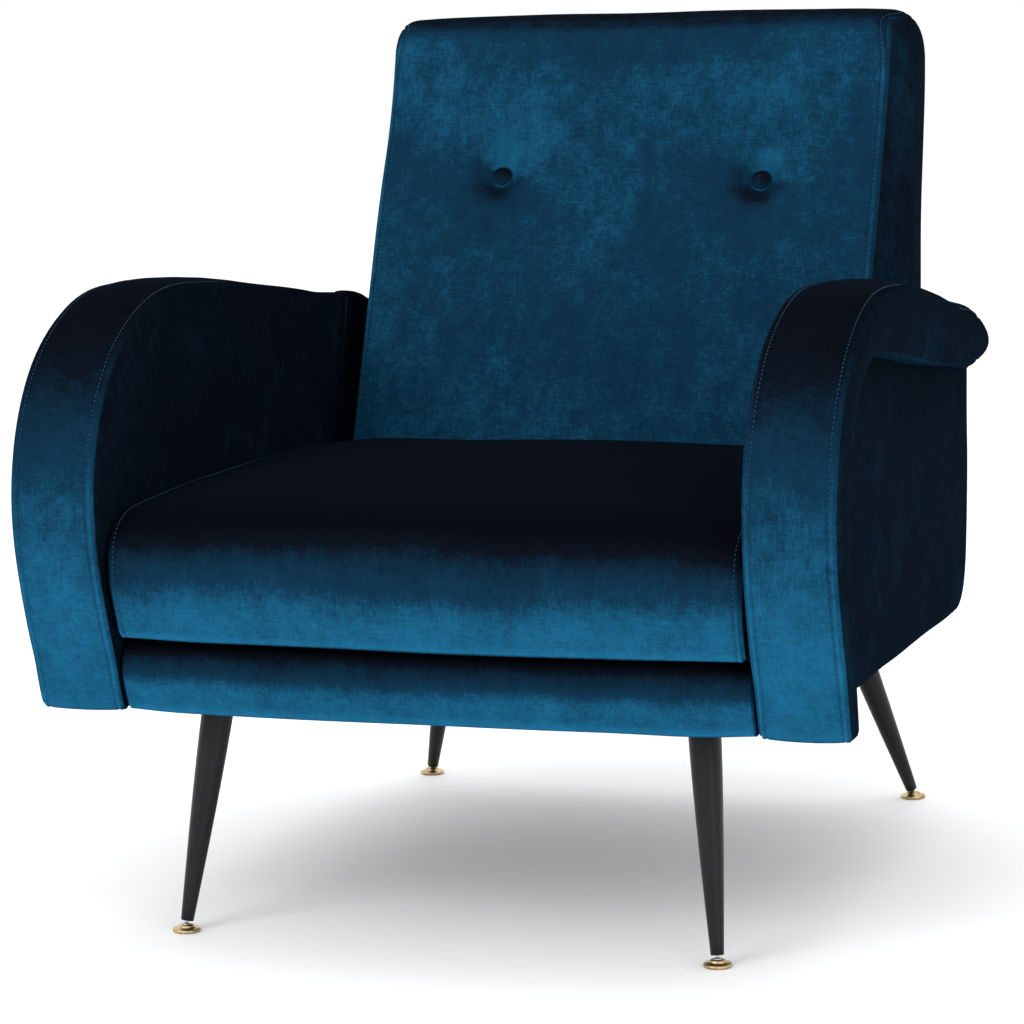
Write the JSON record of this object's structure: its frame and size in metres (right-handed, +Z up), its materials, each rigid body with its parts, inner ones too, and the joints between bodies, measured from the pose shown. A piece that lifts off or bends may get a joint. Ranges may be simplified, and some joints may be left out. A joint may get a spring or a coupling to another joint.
{
  "type": "upholstered armchair",
  "caption": "Velvet armchair with hook-shaped arms over recessed side panels, a raked buttoned back, a tight seat and splayed tapered metal legs on swivel glides.",
  "frame": {"origin": "on the floor, under the middle of the chair's outer box", "axes": "+Z up; the chair faces -Y, so +Y is behind it; +X is the right-hand side as seen from the front"},
  "size_m": [0.756, 0.827, 0.832],
  "materials": {
    "velvet": "matte",
    "foam": "matte",
    "frame_wood": "matte",
    "hardboard": "matte",
    "webbing": "matte",
    "black_cloth": "matte",
    "twine": "matte",
    "black_leg_paint": "satin",
    "bright_steel": "satin",
    "aged_brass": "satin"
  },
  "bodies": {
    "chair": {"front_rail": "frame_wood", "rear_rail": "frame_wood", "side_rail_left": "frame_wood", "side_rail_right": "frame_wood", "corner_blocks": "frame_wood", "seat_webbing_lengthwise": "webbing", "seat_webbing_crosswise": "webbing", "seat_deck_cloth": "black_cloth", "dust_cover": "black_cloth", "seat_foam": "foam", "seat_cover": "velvet", "seat_side_panel_left": "velvet", "seat_side_panel_right": "velvet", "apron_foam": "foam", "apron_cover": "velvet", "arm_frame_left": "frame_wood", "arm_frame_right": "frame_wood", "arm_foam_left": "foam", "arm_foam_right": "foam", "hook_foam_left": "foam", "hook_foam_right": "foam", "arm_band_left": "velvet", "arm_band_right": "velvet", "arm_inner_cover_left": "velvet", "arm_inner_cover_right": "velvet", "arm_outer_cover_left": "velvet", "arm_outer_cover_right": "velvet", "side_pad_left": "foam", "side_pad_right": "foam", "side_cover_left": "velvet", "side_cover_right": "velvet", "arm_bolts": "bright_steel", "back_board_left": "frame_wood", "back_board_right": "frame_wood", "back_rails": "frame_wood", "back_webbing": "webbing", "back_foam": "foam", "back_front_cover": "velvet", "back_gusset_left": "velvet", "back_gusset_right": "velvet", "back_rear_board": "hardboard", "back_rear_cover": "velvet", "back_buttons": "velvet", "button_twines": "twine", "button_anchors": "bright_steel", "leg_front_left": "black_leg_paint", "leg_front_right": "black_leg_paint", "leg_rear_left": "black_leg_paint", "leg_rear_right": "black_leg_paint", "leg_plates": "black_leg_paint", "leg_screws": "bright_steel"},
    "stem_front_left": {"glide_stem_front_left": "bright_steel"},
    "foot_front_left": {"glide_foot_front_left": "aged_brass"},
    "stem_front_right": {"glide_stem_front_right": "bright_steel"},
    "foot_front_right": {"glide_foot_front_right": "aged_brass"},
    "stem_rear_left": {"glide_stem_rear_left": "bright_steel"},
    "foot_rear_left": {"glide_foot_rear_left": "aged_brass"},
    "stem_rear_right": {"glide_stem_rear_right": "bright_steel"},
    "foot_rear_right": {"glide_foot_rear_right": "aged_brass"}
  },
  "joints": [
    {"name": "level_front_left", "type": "slide", "parent": "chair", "child": "stem_front_left", "axis": [-0.1024, -0.2025, -0.9739], "range_m": [0, 0.008]},
    {"name": "tilt_front_left", "type": "hinge", "parent": "stem_front_left", "child": "foot_front_left", "pos_m": [-0.252, -0.336, 0.005], "axis": [1, 0, 0], "range_deg": [-8, 8]},
    {"name": "level_front_right", "type": "slide", "parent": "chair", "child": "stem_front_right", "axis": [0.1024, -0.2025, -0.9739], "range_m": [0, 0.008]},
    {"name": "tilt_front_right", "type": "hinge", "parent": "stem_front_right", "child": "foot_front_right", "pos_m": [0.252, -0.336, 0.005], "axis": [1, 0, 0], "range_deg": [-8, 8]},
    {"name": "level_rear_left", "type": "slide", "parent": "chair", "child": "stem_rear_left", "axis": [-0.2554, 0.3236, -0.9111], "range_m": [0, 0.008]},
    {"name": "tilt_rear_left", "type": "hinge", "parent": "stem_rear_left", "child": "foot_rear_left", "pos_m": [-0.27, 0.376, 0.005], "axis": [1, 0, 0], "range_deg": [-8, 8]},
    {"name": "level_rear_right", "type": "slide", "parent": "chair", "child": "stem_rear_right", "axis": [0.2554, 0.3236, -0.9111], "range_m": [0, 0.008]},
    {"name": "tilt_rear_right", "type": "hinge", "parent": "stem_rear_right", "child": "foot_rear_right", "pos_m": [0.27, 0.376, 0.005], "axis": [1, 0, 0], "range_deg": [-8, 8]}
  ]
}
